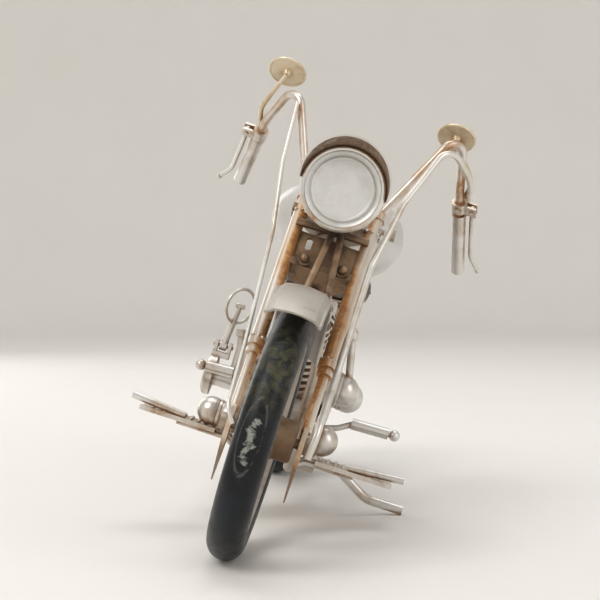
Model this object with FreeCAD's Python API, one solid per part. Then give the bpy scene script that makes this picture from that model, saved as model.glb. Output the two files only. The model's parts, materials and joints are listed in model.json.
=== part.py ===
import FreeCAD, Part
import math
import os

# Tin model motorcycle, built upright and then leaned over onto its side stand.
# Upright frame: X to the rider's left, Y towards the back, Z up, all in millimetres.
# The front axle stands at Y = 0 and the ground under the upright bike is Z = 0.

V = FreeCAD.Vector
os.makedirs("parts", exist_ok=True)

# ---- driving dimensions ----
lean_angle = 17.5          # degrees towards the rider's left, set by the side stand
origin_x = 20.43           # centre of the space the leaned bike fills, across
origin_y = 90.7            # the same, lengthways
wheelbase = 178.0
front_ring = 32.5          # radius of the circle through the tyre section centres
front_section = 5.5        # tyre section radius
rear_ring = 29.6
rear_section = 7.2
rake = 34.3                # degrees of the fork from upright
fork_x = {1: (12.2, 12.0, 12.4), -1: (9.8, 10.3, 11.4)}   # fork at axle, collar and top, per side
fork_top = 83.5            # length from axle to fork top, along the fork
tube_r = 2.25              # upper fork tube
leg_r = 1.5                # lower fork tube
blade = 1.5                # thickness of the flattened fork end
blade_tip_z = 20.6         # its pointed tip, above the ground
collar_at = 27.0           # the same for the collars
steer_offset = 10.0        # steering axis behind the fork line
yoke_at = 58.0             # underside of the lower yoke, along the fork
axle_r = 1.5
run_fit = 0.05             # radial clearance of a turning fit
bar_r = 1.4                # handlebar wire
grip_r = 2.2
rail_r = 1.6               # frame tube
rail_z = 22.5              # height of the lower rails
lamp_y = 28.0              # plane of the headlight rim
lamp_z = 113.0
tyre_fender_r = 42.4       # inside radius of the front fender
sheet = 0.6                # tin sheet

rake_rad = math.radians(rake)
lean_rad = math.radians(lean_angle)
front_axle_z = front_ring + front_section
# both leaned tyres touch the same ground plane
rear_axle_z = front_section + rear_ring + (rear_section - front_section) / math.cos(lean_rad)


# ---- helpers ----
def along_fork(side, s, back=0.0):
    """Point s above the axle along the fork line, moved back square to it."""
    y = s * math.sin(rake_rad) + back * math.cos(rake_rad)
    z = front_axle_z + s * math.cos(rake_rad) - back * math.sin(rake_rad)
    return V(side, y, z)


def cyl(a, b, r):
    return Part.makeCylinder(r, (b - a).Length, a, b - a)


def cone(a, b, ra, rb):
    return Part.makeCone(ra, rb, (b - a).Length, a, b - a)


def ball(c, r):
    return Part.makeSphere(r, c)


def box(x0, x1, y0, y1, z0, z1):
    return Part.makeBox(x1 - x0, y1 - y0, z1 - z0, V(x0, y0, z0))


def fuse(*shapes):
    whole = shapes[0].multiFuse(list(shapes[1:]))
    return whole.removeSplitter()


def wire_rod(points, r, bend):
    """Round wire through the points, its corners rounded by tangent arcs."""
    edges = []
    start = points[0]
    for before, corner, after in zip(points, points[1:], points[2:]):
        a = (before - corner).normalize()
        b = (after - corner).normalize()
        half = a.getAngle(b) / 2
        reach = min(bend / math.tan(half), 0.46 * (before - corner).Length, 0.46 * (after - corner).Length)
        radius = reach * math.tan(half)
        middle = corner + (a + b).normalize() * (radius / math.sin(half) - radius)
        edges.append(Part.LineSegment(start, corner + a * reach).toShape())
        edges.append(Part.Arc(corner + a * reach, middle, corner + b * reach).toShape())
        start = corner + b * reach
    edges.append(Part.LineSegment(start, points[-1]).toShape())
    path = Part.Wire(edges)
    section = Part.Wire([Part.makeCircle(r, points[0], points[1] - points[0])])
    return path.makePipeShell([section], True, False)


def lathe_x(profile, centre):
    """Solid of revolution about a line along X; the profile lists (x, radius)."""
    pts = [centre + V(x, 0, r) for x, r in profile]
    face = Part.Face(Part.makePolygon(pts + [pts[0]]))
    return face.revolve(centre, V(1, 0, 0), 360)


def sweep_arc(section, centre, start_angle, sweep_angle):
    """Turn a flat section about a line along X through the centre."""
    face = Part.Face(section)
    face.rotate(centre, V(1, 0, 0), start_angle)
    return face.revolve(centre, V(1, 0, 0), sweep_angle)


def hexagon(centre, axis, across, height):
    pts = [V(across / 1.732 * math.cos(math.radians(60 * k)),
             across / 1.732 * math.sin(math.radians(60 * k)), 0)
           for k in range(7)]
    prism = Part.Face(Part.makePolygon(pts)).extrude(V(0, 0, height))
    prism.Placement = FreeCAD.Placement(centre, FreeCAD.Rotation(V(0, 0, 1), axis))
    return prism


def mirrored(shape):
    return shape.mirror(V(0, 0, 0), V(1, 0, 0))


def group(*shapes):
    return Part.makeCompound(list(shapes))


# ---- wheels ----
def rim(centre, ring, section):
    seat = ring - section + 1.4
    half = section * 0.84
    wall = 0.9
    profile = [(-half, seat - wall), (half, seat - wall), (half, seat + 3.0), (half - wall, seat + 3.0),
               (half - wall, seat), (-half + wall, seat), (-half + wall, seat + 3.0), (-half, seat + 3.0)]
    return lathe_x(profile, centre)


def tyre(centre, ring, section, rim_solid):
    body = Part.makeTorus(ring, section, centre, V(1, 0, 0))
    seat = ring - section + 1.4
    core = Part.makeCylinder(seat, 40, centre - V(20, 0, 0), V(1, 0, 0))
    return body.cut(core).cut(rim_solid)


def spokes(centre, ring, section, flange_x, flange_r, count):
    wires = []
    outer = ring - section + 1.2
    for k in range(count):
        side = 1 if k % 2 else -1
        turn = math.radians(360 * k / count)
        lag = math.radians(24 if k % 4 < 2 else -24)
        inner = centre + V(side * flange_x, -flange_r * math.sin(turn + lag),
                           flange_r * math.cos(turn + lag))
        tip = centre + V(side * 1.2, -outer * math.sin(turn), outer * math.cos(turn))
        wires.append(cyl(inner, tip, 0.42))
    return group(*wires)


front_centre = V(0, 0, front_axle_z)
rear_centre = V(0, wheelbase, rear_axle_z)


def front_hub():
    bore = axle_r + run_fit
    profile = [(-7.0, bore), (10.0, bore), (10.0, 5.6), (9.4, 6.3), (5.0, 6.3), (4.6, 6.6), (3.8, 6.6),
               (3.6, 3.6),
               (-3.6, 3.6), (-3.8, 6.2), (-4.8, 6.2), (-5.0, 3.2), (-7.0, 3.0)]
    return lathe_x(profile, front_centre)


def rear_hub():
    bore = axle_r + run_fit
    profile = [(-8.4, bore), (8.4, bore), (8.4, 3.4), (7.6, 10.6), (5.4, 11.2), (5.0, 7.0), (3.8, 7.0),
               (3.6, 3.8),
               (-3.6, 3.8), (-3.8, 7.0), (-4.8, 7.0), (-5.2, 8.6), (-7.4, 8.4), (-8.4, 3.2)]
    return lathe_x(profile, rear_centre)


def axle(centre, right, left):
    """Axle through the wheel, with a hexagon nut outside each end plate."""
    rod = cyl(centre - V(right + 2.6, 0, 0), centre + V(left + 2.6, 0, 0), axle_r)
    left_nut = hexagon(centre + V(left, 0, 0), V(1, 0, 0), 4.6, 2.0)
    right_nut = hexagon(centre - V(right, 0, 0), V(-1, 0, 0), 4.6, 2.0)
    return fuse(rod, left_nut, right_nut)


# ---- fork and steering ----
def fork_at(side, s, back=0.0):
    """Point on a fork side's centre line, s above the axle."""
    low, collar, high = fork_x[side]
    if s < collar_at:
        x = low + (collar - low) * s / collar_at
    else:
        x = collar + (high - collar) * (s - collar_at) / (fork_top - collar_at)
    return along_fork(side * x, s, back)


def fork_leg(side):
    """Lower fork tube, hammered flat round the axle and ending in a point."""
    leg_x = fork_x[side][0]
    tube = cyl(fork_at(side, 4.2), fork_at(side, collar_at), leg_r)
    z0 = front_axle_z
    outline = [V(0, 5.6, z0 + 6.4), V(0, 0.2, z0 + 5.0), V(0, -2.6, z0 + 1.5), V(0, -2.7, z0 - 3.0),
               V(0, -1.9, z0 - 8.0), V(0, -0.4, blade_tip_z), V(0, 0.4, blade_tip_z), V(0, 2.6, z0 - 7.0),
               V(0, 3.0, z0 - 1.5), V(0, 3.4, z0 + 2.0)]
    flat = Part.Face(Part.makePolygon(outline + [outline[0]])).extrude(V(blade, 0, 0))
    flat.translate(V(side * leg_x - blade / 2, 0, 0))
    top = z0 - 4.0
    tip = blade_tip_z - 1.0
    for face in (-1, 1):
        taper = ((blade / 2, top), (2.0, top), (2.0, tip), (0.15, tip))
        corners = [V(side * leg_x + face * w, -8.0, z) for w, z in taper]
        flat = flat.cut(Part.Face(Part.makePolygon(corners + [corners[0]])).extrude(V(0, 16, 0)))
    hole = cyl(front_centre - V(20, 0, 0), front_centre + V(20, 0, 0), axle_r)
    return fuse(tube, flat).cut(hole)


def fork_tube(side):
    return cyl(fork_at(side, collar_at), fork_at(side, fork_top), tube_r)


def fork_collar(side):
    bands = []
    for below, length, r in ((3.2, 1.6, 2.4), (1.6, 1.0, 2.1), (0.6, 2.6, 2.8)):
        start = collar_at - below
        bands.append(cyl(fork_at(side, start), fork_at(side, start + length), r))
    return fuse(*bands)


def fork(side):
    """One complete fork side, soldered up: blade, lower tube, collar, tube and cap nut."""
    return fuse(fork_leg(side), fork_collar(side), fork_tube(side), fork_nut(side))


def fork_nut(side):
    """Knurled cap nut on top of a fork tube."""
    low = fork_at(side, fork_top)
    high = low + along_fork(0, 2.6) - along_fork(0, 0)
    body = cyl(low, high, 2.7)
    up = (high - low).normalize()
    square = V(1, 0, 0).cross(up)
    for k in range(14):
        turn = math.radians(360 * k / 14)
        spot = low + (V(1, 0, 0) * math.cos(turn) + square * math.sin(turn)) * 2.75
        body = body.cut(cyl(spot, spot + up * 2.6, 0.22))
    return body


def yoke(s, thick, right, left):
    """Flat plate joining the two fork tubes and the steering stem."""
    front = [(-right, -1.6), (left, -1.6), (left, 3.0), (3.4, steer_offset + 2.8),
             (-3.4, steer_offset + 2.8),
             (-right, 3.0)]
    pts = [along_fork(x, s, b) for x, b in front]
    face = Part.Face(Part.makePolygon(pts + [pts[0]]))
    return face.extrude(along_fork(0, s + thick) - along_fork(0, s))


def steering_stem():
    """Stem through the head tube, with a hexagon nut above the upper yoke."""
    low = along_fork(0, yoke_at - 1.5, steer_offset)
    high = along_fork(0, 82.2, steer_offset)
    nut = hexagon(along_fork(0, 80.6, steer_offset), high - low, 5.0, 2.0)
    return fuse(cyl(low, high, 2.0), nut)


def yoke_pin(x):
    """Round-headed pin standing out of the front of the lower yoke."""
    base = along_fork(x, yoke_at + 1.3, 1.0)
    out = along_fork(x, yoke_at + 1.3, -4.6)
    collar = cyl(along_fork(x, yoke_at + 1.3, -3.0), along_fork(x, yoke_at + 1.3, -3.9), 1.9)
    return fuse(cyl(base, out, 0.9), collar, ball(out, 1.35))


def apron():
    """Upright plate between the fork tubes above the lower yoke, with an oval slot."""
    outline = ((-9.4, yoke_at + 2.0), (10.8, yoke_at + 2.0), (11.0, 70.5), (-9.6, 71.5))
    corners = [along_fork(x, s, -0.4) for x, s in outline]
    deep = along_fork(0, 0, 0.9) - along_fork(0, 0)
    plate = Part.Face(Part.makePolygon(corners + [corners[0]])).extrude(deep)
    for spot in (66.2, 67.4, 68.6):
        plate = plate.cut(cyl(along_fork(-5.4, spot, -2.0), along_fork(-5.4, spot, 2.0), 1.1))
    return plate


def clamp_bolt():
    """Hexagon pinch bolt at the left end of the upper yoke."""
    spot = along_fork(17.2, 80.6, 0.4)
    return fuse(cyl(spot - V(5.0, 0, 0), spot + V(2.4, 0, 0), 0.9),
                hexagon(spot + V(0.8, 0, 0), V(1, 0, 0), 3.4, 1.6))


def head_tube():
    low = along_fork(0, yoke_at + 3.0, steer_offset)
    high = along_fork(0, 77.4, steer_offset)
    tube = cyl(low, high, 3.8)
    rings = [cyl(low, along_fork(0, yoke_at + 4.8, steer_offset), 4.5),
             cyl(along_fork(0, 75.6, steer_offset), high, 4.5)]
    body = fuse(tube, *rings)
    bore = cyl(along_fork(0, yoke_at, steer_offset), along_fork(0, 82.0, steer_offset), 2.0 + run_fit)
    return body.cut(bore)


def lamp_bar():
    """Cross bar between the fork tubes with a short stalk up to the lamp."""
    left = fork_at(1, 73.0, -2.6)
    right = fork_at(-1, 73.0, -2.6)
    middle = V(0, left.y, left.z)
    return fuse(cyl(left, right, 1.25), cyl(middle, V(0, lamp_y + 9.0, lamp_z - 10.5), 1.2))


# ---- headlight ----
def turned_y(profile):
    """Solid of revolution about the lamp axis; the profile lists (y, radius)."""
    pts = [V(0, lamp_y + y, lamp_z + r) for y, r in profile]
    face = Part.Face(Part.makePolygon(pts + [pts[0]]))
    return face.revolve(V(0, lamp_y, lamp_z), V(0, 1, 0), 360)


def lamp_shell():
    outer = [(1.2, 12.6), (5.0, 12.4), (9.0, 10.8), (12.0, 8.2), (14.0, 4.6), (14.8, 0.0)]
    inner = [(14.2, 0.0), (13.4, 4.2), (11.5, 7.7), (8.6, 10.2), (4.8, 11.8), (1.2, 12.0)]
    return turned_y(outer + inner)


def lamp_rim():
    """Rolled lip round the front of the lamp."""
    return turned_y([(1.2, 11.7), (1.2, 12.6), (1.9, 12.7), (1.9, 13.3), (0.3, 13.3), (-0.5, 13.1),
                     (-0.9, 12.6),
                     (-0.8, 12.0), (-0.3, 11.7)])


def lamp_disc():
    """Pressed face: a dished ring, a rounded step and a flat centre."""
    return turned_y([(0.0, 0.0), (0.0, 8.9), (-0.25, 9.2), (-0.25, 9.7), (0.1, 10.0), (0.55, 10.3),
                     (0.6, 10.7),
                     (0.3, 11.4), (0.1, 11.7), (1.2, 11.7), (1.2, 0.0)])


def lamp_visor():
    """Flared crescent peak over the top half of the rim, widest in the middle."""
    reach = 8.0
    flare = [(1.0, 13.3), (1.0, 13.8), (-reach, 16.4), (-reach, 15.9)]
    band = turned_y(flare)
    lower_half = box(-30, 30, lamp_y - 30, lamp_y + 30, lamp_z - 60, lamp_z)
    slope = Part.makePolygon([V(0, lamp_y - 12.0, lamp_z - 1), V(0, lamp_y - 0.2, lamp_z - 1),
                              V(0, lamp_y - reach - 1.3, lamp_z + 20.0), V(0, lamp_y - 12.0, lamp_z + 20.0),
                              V(0, lamp_y - 12.0, lamp_z - 1)])
    wedge = Part.Face(slope).extrude(V(60, 0, 0))
    wedge.translate(V(-30, 0, 0))
    return band.cut(lower_half).cut(wedge)


# ---- front fender ----
def fender(centre, inner_r, half, crown, drop, start_angle, sweep_angle):
    """Domed strip of tin over a wheel, with a rolled hem along each side."""
    top = inner_r + sheet
    pts_out = [V(-half, 0, top - drop), V(-half * 0.75, 0, top + crown * 0.45), V(0, 0, top + crown),
               V(half * 0.75, 0, top + crown * 0.45), V(half, 0, top - drop)]
    outer = [Part.Arc(pts_out[1], pts_out[2], pts_out[3]).toShape(),
             Part.LineSegment(pts_out[3], pts_out[4]).toShape()]
    inset = [V(half - sheet, 0, top - drop), V(half * 0.75 - sheet, 0, top + crown * 0.45 - sheet),
             V(0, 0, top + crown - sheet), V(-half * 0.75 + sheet, 0, top + crown * 0.45 - sheet),
             V(-half + sheet, 0, top - drop)]
    edges = outer + [Part.LineSegment(pts_out[4], inset[0]).toShape(),
                     Part.LineSegment(inset[0], inset[1]).toShape(),
                     Part.Arc(inset[1], inset[2], inset[3]).toShape(),
                     Part.LineSegment(inset[3], inset[4]).toShape(),
                     Part.LineSegment(inset[4], pts_out[0]).toShape(),
                     Part.LineSegment(pts_out[0], pts_out[1]).toShape()]
    section = Part.Wire(edges)
    section.translate(centre)
    body = sweep_arc(section, centre, start_angle, sweep_angle)
    hems = []
    for side in (-1, 1):
        bead = Part.Wire([Part.makeCircle(0.55, centre + V(side * (half - 0.3), 0, top - drop), V(0, 1, 0))])
        hems.append(sweep_arc(bead, centre, start_angle, sweep_angle))
    return fuse(body, *hems)


def front_fender():
    body = fender(front_centre, tyre_fender_r, 8.0, 1.3, 1.3, 33, -93)
    slot = fuse(Part.makeCylinder(1.1, 12, V(-0.9, 4, front_axle_z + 38), V(0, 0, 1)),
                Part.makeCylinder(1.1, 12, V(0.9, 4, front_axle_z + 38), V(0, 0, 1)))
    return body.cut(slot)


def fender_struts():
    """Two round stays spreading from the cross bar down to the fender crown."""
    crown_z = front_axle_z + math.sqrt((tyre_fender_r + 1.6) ** 2 - 14.0 ** 2)
    near = cyl(along_fork(0.6, 73.0, -2.6), V(-0.9, 14.0, crown_z), 1.15)
    far = cyl(along_fork(3.4, 73.0, -2.6), V(5.8, 14.0, crown_z - 0.6), 1.15)
    return group(near, far)


# ---- handlebars, grips, levers, mirrors ----
bar_left = [V(12.4, 48.0, 108.5), V(30.5, 55.0, 145.0), V(35.2, 62.0, 125.6), V(43.4, 85.0, 101.0)]
bar_right = [V(-11.4, 48.0, 108.5), V(-25.3, 55.0, 143.6), V(-32.6, 62.0, 128.5), V(-37.6, 85.0, 108.4)]
lever_gap = 4.4            # lever outboard of the bar
lever_length = 26.0


def grip_line(bar):
    return (bar[3] - bar[2]).normalize()


def on_grip(bar, distance, out=0.0):
    side = 1 if bar[3].x > 0 else -1
    return bar[2] + grip_line(bar) * distance + V(side * out, 0, 0)


def lever_axis(bar):
    side = 1 if bar[3].x > 0 else -1
    return V(side, 0, 0).cross(grip_line(bar)).normalize()


def grip(bar):
    """Smooth tin grip tube with a rolled lip at both ends."""
    length = (bar[3] - bar[2]).Length
    start = on_grip(bar, length * 0.29)
    end = on_grip(bar, length + 0.8)
    body = cyl(start, end, grip_r)
    lip = cyl(start, start + grip_line(bar) * 0.8, grip_r + 0.2)
    bore = cyl(end - grip_line(bar) * 0.7, end, grip_r - 0.5)
    return fuse(body, lip).cut(bore)


def clamp(bar):
    """Strap clamp bent round the bar, its two ears holding the lever pivot pin."""
    axis = lever_axis(bar)
    along = grip_line(bar)
    pivot = on_grip(bar, 6.8, lever_gap)
    band = cyl(on_grip(bar, 5.0), on_grip(bar, 8.6), 2.6)
    side = (pivot - on_grip(bar, 6.8)).normalize()
    ears = []
    for s in (-1, 1):
        corners = [pivot + along * a + side * b + axis * (s * 1.25 - 0.4)
                   for a, b in ((-1.7, -3.4), (1.7, -3.4), (1.7, 1.5), (-1.7, 1.5))]
        ears.append(Part.Face(Part.makePolygon(corners + [corners[0]])).extrude(axis * 0.8))
    pin = cyl(pivot - axis * 2.1, pivot + axis * 2.1, 0.6)
    screw = cyl(on_grip(bar, 6.8) - axis * 3.0, on_grip(bar, 6.8) - axis * 2.0, 0.9)
    return fuse(band, pin, screw, *ears)


def lever(bar):
    """Pressed lever with an eye on the pivot pin and a ball at its hooked tip."""
    axis = lever_axis(bar)
    root = on_grip(bar, 6.8, lever_gap)
    eye = cyl(root - axis * 0.75, root + axis * 0.75, 1.35)
    tip_at = on_grip(bar, 6.8 + lever_length, lever_gap + 2.6)
    blade = wire_rod([on_grip(bar, 7.8, lever_gap), on_grip(bar, 13.0, lever_gap - 0.2),
                      on_grip(bar, 27.5, lever_gap - 0.2), tip_at], 0.7, 8.0)
    hole = cyl(root - axis * 3, root + axis * 3, 0.6 + run_fit)
    return fuse(eye, blade, ball(tip_at, 0.95)).cut(hole)


mirror_normal = V(0, 0.60, 0.80)


def mirror_disc(centre):
    """Dished round plate, rim rolled towards the rider, with a solder boss in front."""
    n = V(mirror_normal).normalize()
    plate = cyl(centre, centre + n * 0.6, 5.9)
    ring = Part.makeTorus(6.0, 0.5, centre + n * 0.3, n)
    boss = cone(centre, centre - n * 1.3, 1.6, 0.9)
    return fuse(plate, ring, boss)


mirror_left_at = V(29.0, 60.0, 141.0)
mirror_right_at = V(-30.4, 60.0, 145.4)


def mirror(bar, centre, elbow):
    """Mirror disc with its wire stalk up from the lever clamp."""
    n = V(mirror_normal).normalize()
    stalk = wire_rod([on_grip(bar, 6.0), elbow, centre - n * 1.0], 0.75, 6.0)
    return fuse(mirror_disc(centre), stalk)


# ---- control cables, both carried by the steering ----
def cable_left():
    """Thick cable from the left lever over an arch and down the fork."""
    return wire_rod([on_grip(bar_left, 3.0, 3.3), V(37.6, 57.0, 129.0), V(27.5, 50.5, 138.0),
                     V(19.0, 43.0, 115.0),
                     V(15.4, 31.0, 93.0), V(15.6, 9.0, 60.0), V(15.4, -4.8, 43.0), V(15.0, -5.0,
                                                                                     35.5)], 1.1, 9.0)


def cable_right():
    """Thin cable from the right bar, straight down the fork to a small hook."""
    return wire_rod([V(-23.4, 51.0, 136.5), V(-21.8, 45.0, 117.0), V(-17.2, 34.0, 95.0), V(-13.0, 9.4, 60.0),
                     V(-11.4, -3.6, 42.5), V(-8.4, -4.6, 38.5)], 0.65, 9.0)


# ---- frame ----
def side_tube(side):
    """Down tube, lower rail and the run up to the rear axle, one bent tube."""
    return wire_rod([V(side * 3.2, 49.3, 88.5), V(side * 8.4, 45.8, 54.0), V(side * 9.0, 48.0, rail_z),
                     V(side * 9.0, 120.0, rail_z), V(side * 11.4, wheelbase - 6.0,
                                                     rear_axle_z - 2.0)], rail_r, 8.0)


def top_stay(side):
    return wire_rod([V(side * 1.6, 112.0, 78.0), V(side * 9.5, 134.0, 70.0),
                     V(side * 11.4, wheelbase - 4.0, rear_axle_z + 3.0)], rail_r * 0.9, 8.0)


def backbone():
    return wire_rod([V(0, 52.8, 91.5), V(0, 86.0, 90.0), V(0, 113.0, 78.0)], 2.2, 20.0)


def axle_plate(side):
    """Slotted plate that joins the lower and upper tubes and holds the axle."""
    y = wheelbase
    z = rear_axle_z
    outline = [V(0, y - 12, z - 6.0), V(0, y + 3, z - 4.2), V(0, y + 6, z), V(0, y + 3, z + 4.2),
               V(0, y - 8, z + 10.0)]
    plate = Part.Face(Part.makePolygon(outline + [outline[0]])).extrude(V(1.4, 0, 0))
    plate.translate(V(side * 11.4 - 0.7, 0, 0))
    return plate.cut(cyl(rear_centre - V(20, 0, 0), rear_centre + V(20, 0, 0), axle_r))


# ---- tank, seat, rear fender ----
def tank_lobe(side):
    """One hollow teardrop half, bulging outwards, flat where it meets its twin."""
    rows = ((62.5, 9.0, 8.0, 104.5), (66.0, 16.0, 11.6, 103.6), (76.0, 22.4, 14.0, 102.2),
            (90.0, 21.6, 13.2, 99.6),
            (104.0, 14.8, 9.6, 95.2), (113.0, 7.0, 5.4, 91.0))

    def loop(y, wide, high, z, shrink):
        points = []
        for turn in (-78, -45, -10, 25, 60, 84):
            a = math.radians(turn)
            points.append(V(0.9 + shrink + (wide - 0.9 - 2 * shrink) * math.cos(a) ** 0.7, y,
                            z + (high - shrink) * math.sin(a)))
        curve = Part.BSplineCurve()
        curve.interpolate(points)
        foot = V(0.9 + shrink, y, points[0].z)
        peak = V(0.9 + shrink, y, points[-1].z)
        return Part.Wire([Part.LineSegment(foot, points[0]).toShape(), curve.toShape(),
                          Part.LineSegment(points[-1], peak).toShape(), Part.LineSegment(peak,
                                                                                         foot).toShape()])

    outer = Part.makeLoft([loop(y, w, h, z, 0) for y, w, h, z in rows], True, False)
    inner_rows = [(y, w, h, z) for y, w, h, z in rows]
    inner_rows[0] = (rows[0][0] + 1.2,) + rows[0][1:]
    inner_rows[-1] = (rows[-1][0] - 1.2,) + rows[-1][1:]
    inner = Part.makeLoft([loop(y, w, h, z, 0.9) for y, w, h, z in inner_rows], True, False)
    lobe = outer.cut(inner)
    if side < 0:
        return mirrored(lobe)
    return lobe


def tank_cap(side):
    neck = V(side * 10.5, 82.0, 114.6)
    return fuse(cyl(neck, neck + V(0, 0, 1.5), 2.0), cyl(neck + V(0, 0, 1.4), neck + V(0, 0, 3.1), 3.1))


def saddle(inflate, low, high):
    """Broad saddle outline as a loft of three closed curves, nose towards the tank."""
    half = [(0.0, 102.5), (5.0, 104.5), (8.0, 111.0), (13.5, 120.0), (17.0, 130.0), (14.0, 139.0),
            (6.0, 143.0)]

    def loop(grow, z):
        pts = [V(x + (grow if x else 0), y + grow * (y - 123.0) / 20.0, z) for x, y in half]
        pts += [V(-p.x, p.y, p.z) for p in reversed(pts[1:])]
        curve = Part.BSplineCurve()
        curve.interpolate(pts, True)
        return Part.Wire([curve.toShape()])

    middle = (low + high) / 2
    return Part.makeLoft([loop(inflate - 1.6, low), loop(inflate, middle), loop(inflate - 2.6, high)],
                         True, False)


def seat_springs():
    """Two coil stacks under the back of the saddle, as turned bellows."""
    coils = []
    for side in (-9.0, 9.0):
        rings = [Part.makeTorus(2.4, 0.6, V(side, 133.0, 71.4 + 1.45 * k), V(0, 0, 1)) for k in range(4)]
        core = Part.makeCylinder(2.2, 6.4, V(side, 133.0, 70.4))
        coils.append(fuse(core, *rings))
    return group(*coils)


def rear_fender():
    return fender(rear_centre, rear_ring + rear_section + 2.0, 10.4, 2.0, 5.0, 38, -152)


def fender_stay(side):
    """Bent wire from the axle plate up to the side of the rear fender."""
    return wire_rod([V(side * 12.8, wheelbase + 2.0, rear_axle_z + 2.5),
                     V(side * 12.6, wheelbase + 14.0, 60.0),
                     V(side * 10.6, wheelbase + 22.0, 66.0)], 0.8, 5.0)


# ---- engine ----
crank = (56.0, 100.0, 23.4, 44.0)     # front, back, bottom and top of the crankcase
barrel_length = 29.6


def crankcase():
    """Hollow tin case with rounded ends and a seam flange along its middle."""
    y0, y1, z0, z1 = crank
    block = box(-10.5, 10.5, y0, y1, z0, z1)
    round_edges = [e for e in block.Edges if abs(e.Vertexes[0].X - e.Vertexes[1].X) > 1]
    block = block.makeFillet(5.0, round_edges)
    inside = box(-9.6, 9.6, y0 + 0.9, y1 - 0.9, z0 + 0.9, z1 - 0.9)
    inside = inside.makeFillet(4.1, [e for e in inside.Edges if abs(e.Vertexes[0].X - e.Vertexes[1].X) > 1])
    seam = box(-10.9, 10.9, y0 + 3, y1 - 3, 31.4, 32.6)
    return fuse(block, seam).cut(inside)


def cylinder(base_y, tilt):
    """Finned cylinder barrel standing on the crankcase."""
    base = V(0, base_y, crank[3] - 0.4)
    up = V(0, math.sin(math.radians(tilt)), math.cos(math.radians(tilt)))
    parts = [cyl(base, base + up * barrel_length, 6.2)]
    for k in range(10):
        foot = base + up * (4.6 + 2.45 * k)
        parts.append(cyl(foot, foot + up * 1.1, 8.6))
    return fuse(*parts)


def cylinder_head(base_y, tilt):
    """Cast head with a domed top, sitting on the barrel."""
    base = V(0, base_y, crank[3] - 0.4)
    up = V(0, math.sin(math.radians(tilt)), math.cos(math.radians(tilt)))
    low = base + up * barrel_length
    body = cyl(low, low + up * 4.4, 7.6)
    dome = ball(low + up * 1.4, 7.0).common(Part.makeCylinder(9, 12, low, up))
    return fuse(body, dome)


def drum_x(side, x0, x1, r, cap_r, y, z):
    """Turned case cover lying across the bike: banded barrel with a ball-shaped cap."""
    belly = [(x0, 0.0), (x0, r * 0.84), (x0 + 1.2, r * 0.84), (x0 + 1.6, r), (x1 - 0.6, r), (x1, r - 0.6),
             (x1, 0.0)]
    body = lathe_x(belly, V(0, y, z))
    band = lathe_x([(x1 - 2.0, 0.5), (x1 - 1.2, 0.5), (x1 - 1.2, r + 0.3), (x1 - 2.0, r + 0.3)], V(0, y, z))
    whole = fuse(body, band, ball(V(x1 + 0.9, y, z), cap_r))
    if side < 0:
        return mirrored(whole)
    return whole


def side_cover():
    """Flat round cover on the right flank, carried on a short boss."""
    return fuse(lathe_x([(-28.6, 0.0), (-28.6, 6.0), (-27.8, 7.1), (-25.6, 7.1), (-25.6, 0.0)],
                        V(0, 80, 41)),
                lathe_x([(-25.6, 0.0), (-25.6, 3.4), (-10.4, 3.4), (-10.4, 0.0)], V(0, 80, 41)))


def pushrods():
    """Bright rod covers standing beside the cylinders, two on each side."""
    rods = []
    for y in (72.0, 84.0):
        rods.append(cyl(V(9.9, y, 42.5), V(7.4, y, 62.0), 0.95))
        rods.append(cyl(V(-9.9, y, 42.5), V(-7.4, y, 62.0), 0.95))
    return group(*rods)


def breather():
    """Short oil breather pipe rising from the upper left cover."""
    low = V(19.6, 75.0, 52.5)
    high = V(15.8, 75.0, 70.0)
    return fuse(cyl(low, high, 1.3), cyl(high - (high - low) * 0.14, high, 1.9), ball(high, 1.5))


def carburettor():
    """Cast box between the cylinders on the right, with a bowl and an intake tube."""
    body = box(-20.6, -8.0, 75.0, 87.0, 43.6, 53.5)
    body = body.makeFillet(1.6, [e for e in body.Edges if abs(e.Vertexes[0].Z - e.Vertexes[1].Z) > 1])
    tube = cyl(V(-17.0, 76.5, 45.0), V(-20.2, 76.5, 59.0), 1.7)
    bowl = cyl(V(-14.5, 75.6, 47.0), V(-14.5, 72.6, 47.0), 3.6)
    return fuse(body, tube, bowl, cyl(V(-19.7, 76.5, 57.0), V(-20.2, 76.5, 59.2), 2.3))


def foot_peg(side):
    """Short round peg: bent root, barrel, waist and ball end."""
    if side > 0:
        root, elbow, start, end, knob = (V(10.0, 74.5, 34.0), V(20.6, 74.5, 37.2), V(24.6, 75.0, 40.0),
                                         V(37.6, 75.0, 40.4), V(39.7, 75.0, 40.5))
        neck = wire_rod([root, elbow, start + V(0.6, 0, 0)], 1.0, 3.0)
    else:
        root, start, end, knob = V(-10.0, 70.0, 42.6), V(-18.6, 70.0, 44.8), V(-28.0, 70.0,
                                                                               44.2), V(-29.9, 70.0, 44.1)
        neck = fuse(cyl(root, start, 0.95), ball(start, 1.3))
    line = (end - start).normalize()
    barrel = cyl(start, end, 1.9)
    waist = cyl(end - line * 0.2, knob, 1.0)
    return fuse(neck, barrel, waist, ball(knob, 1.9))


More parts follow.
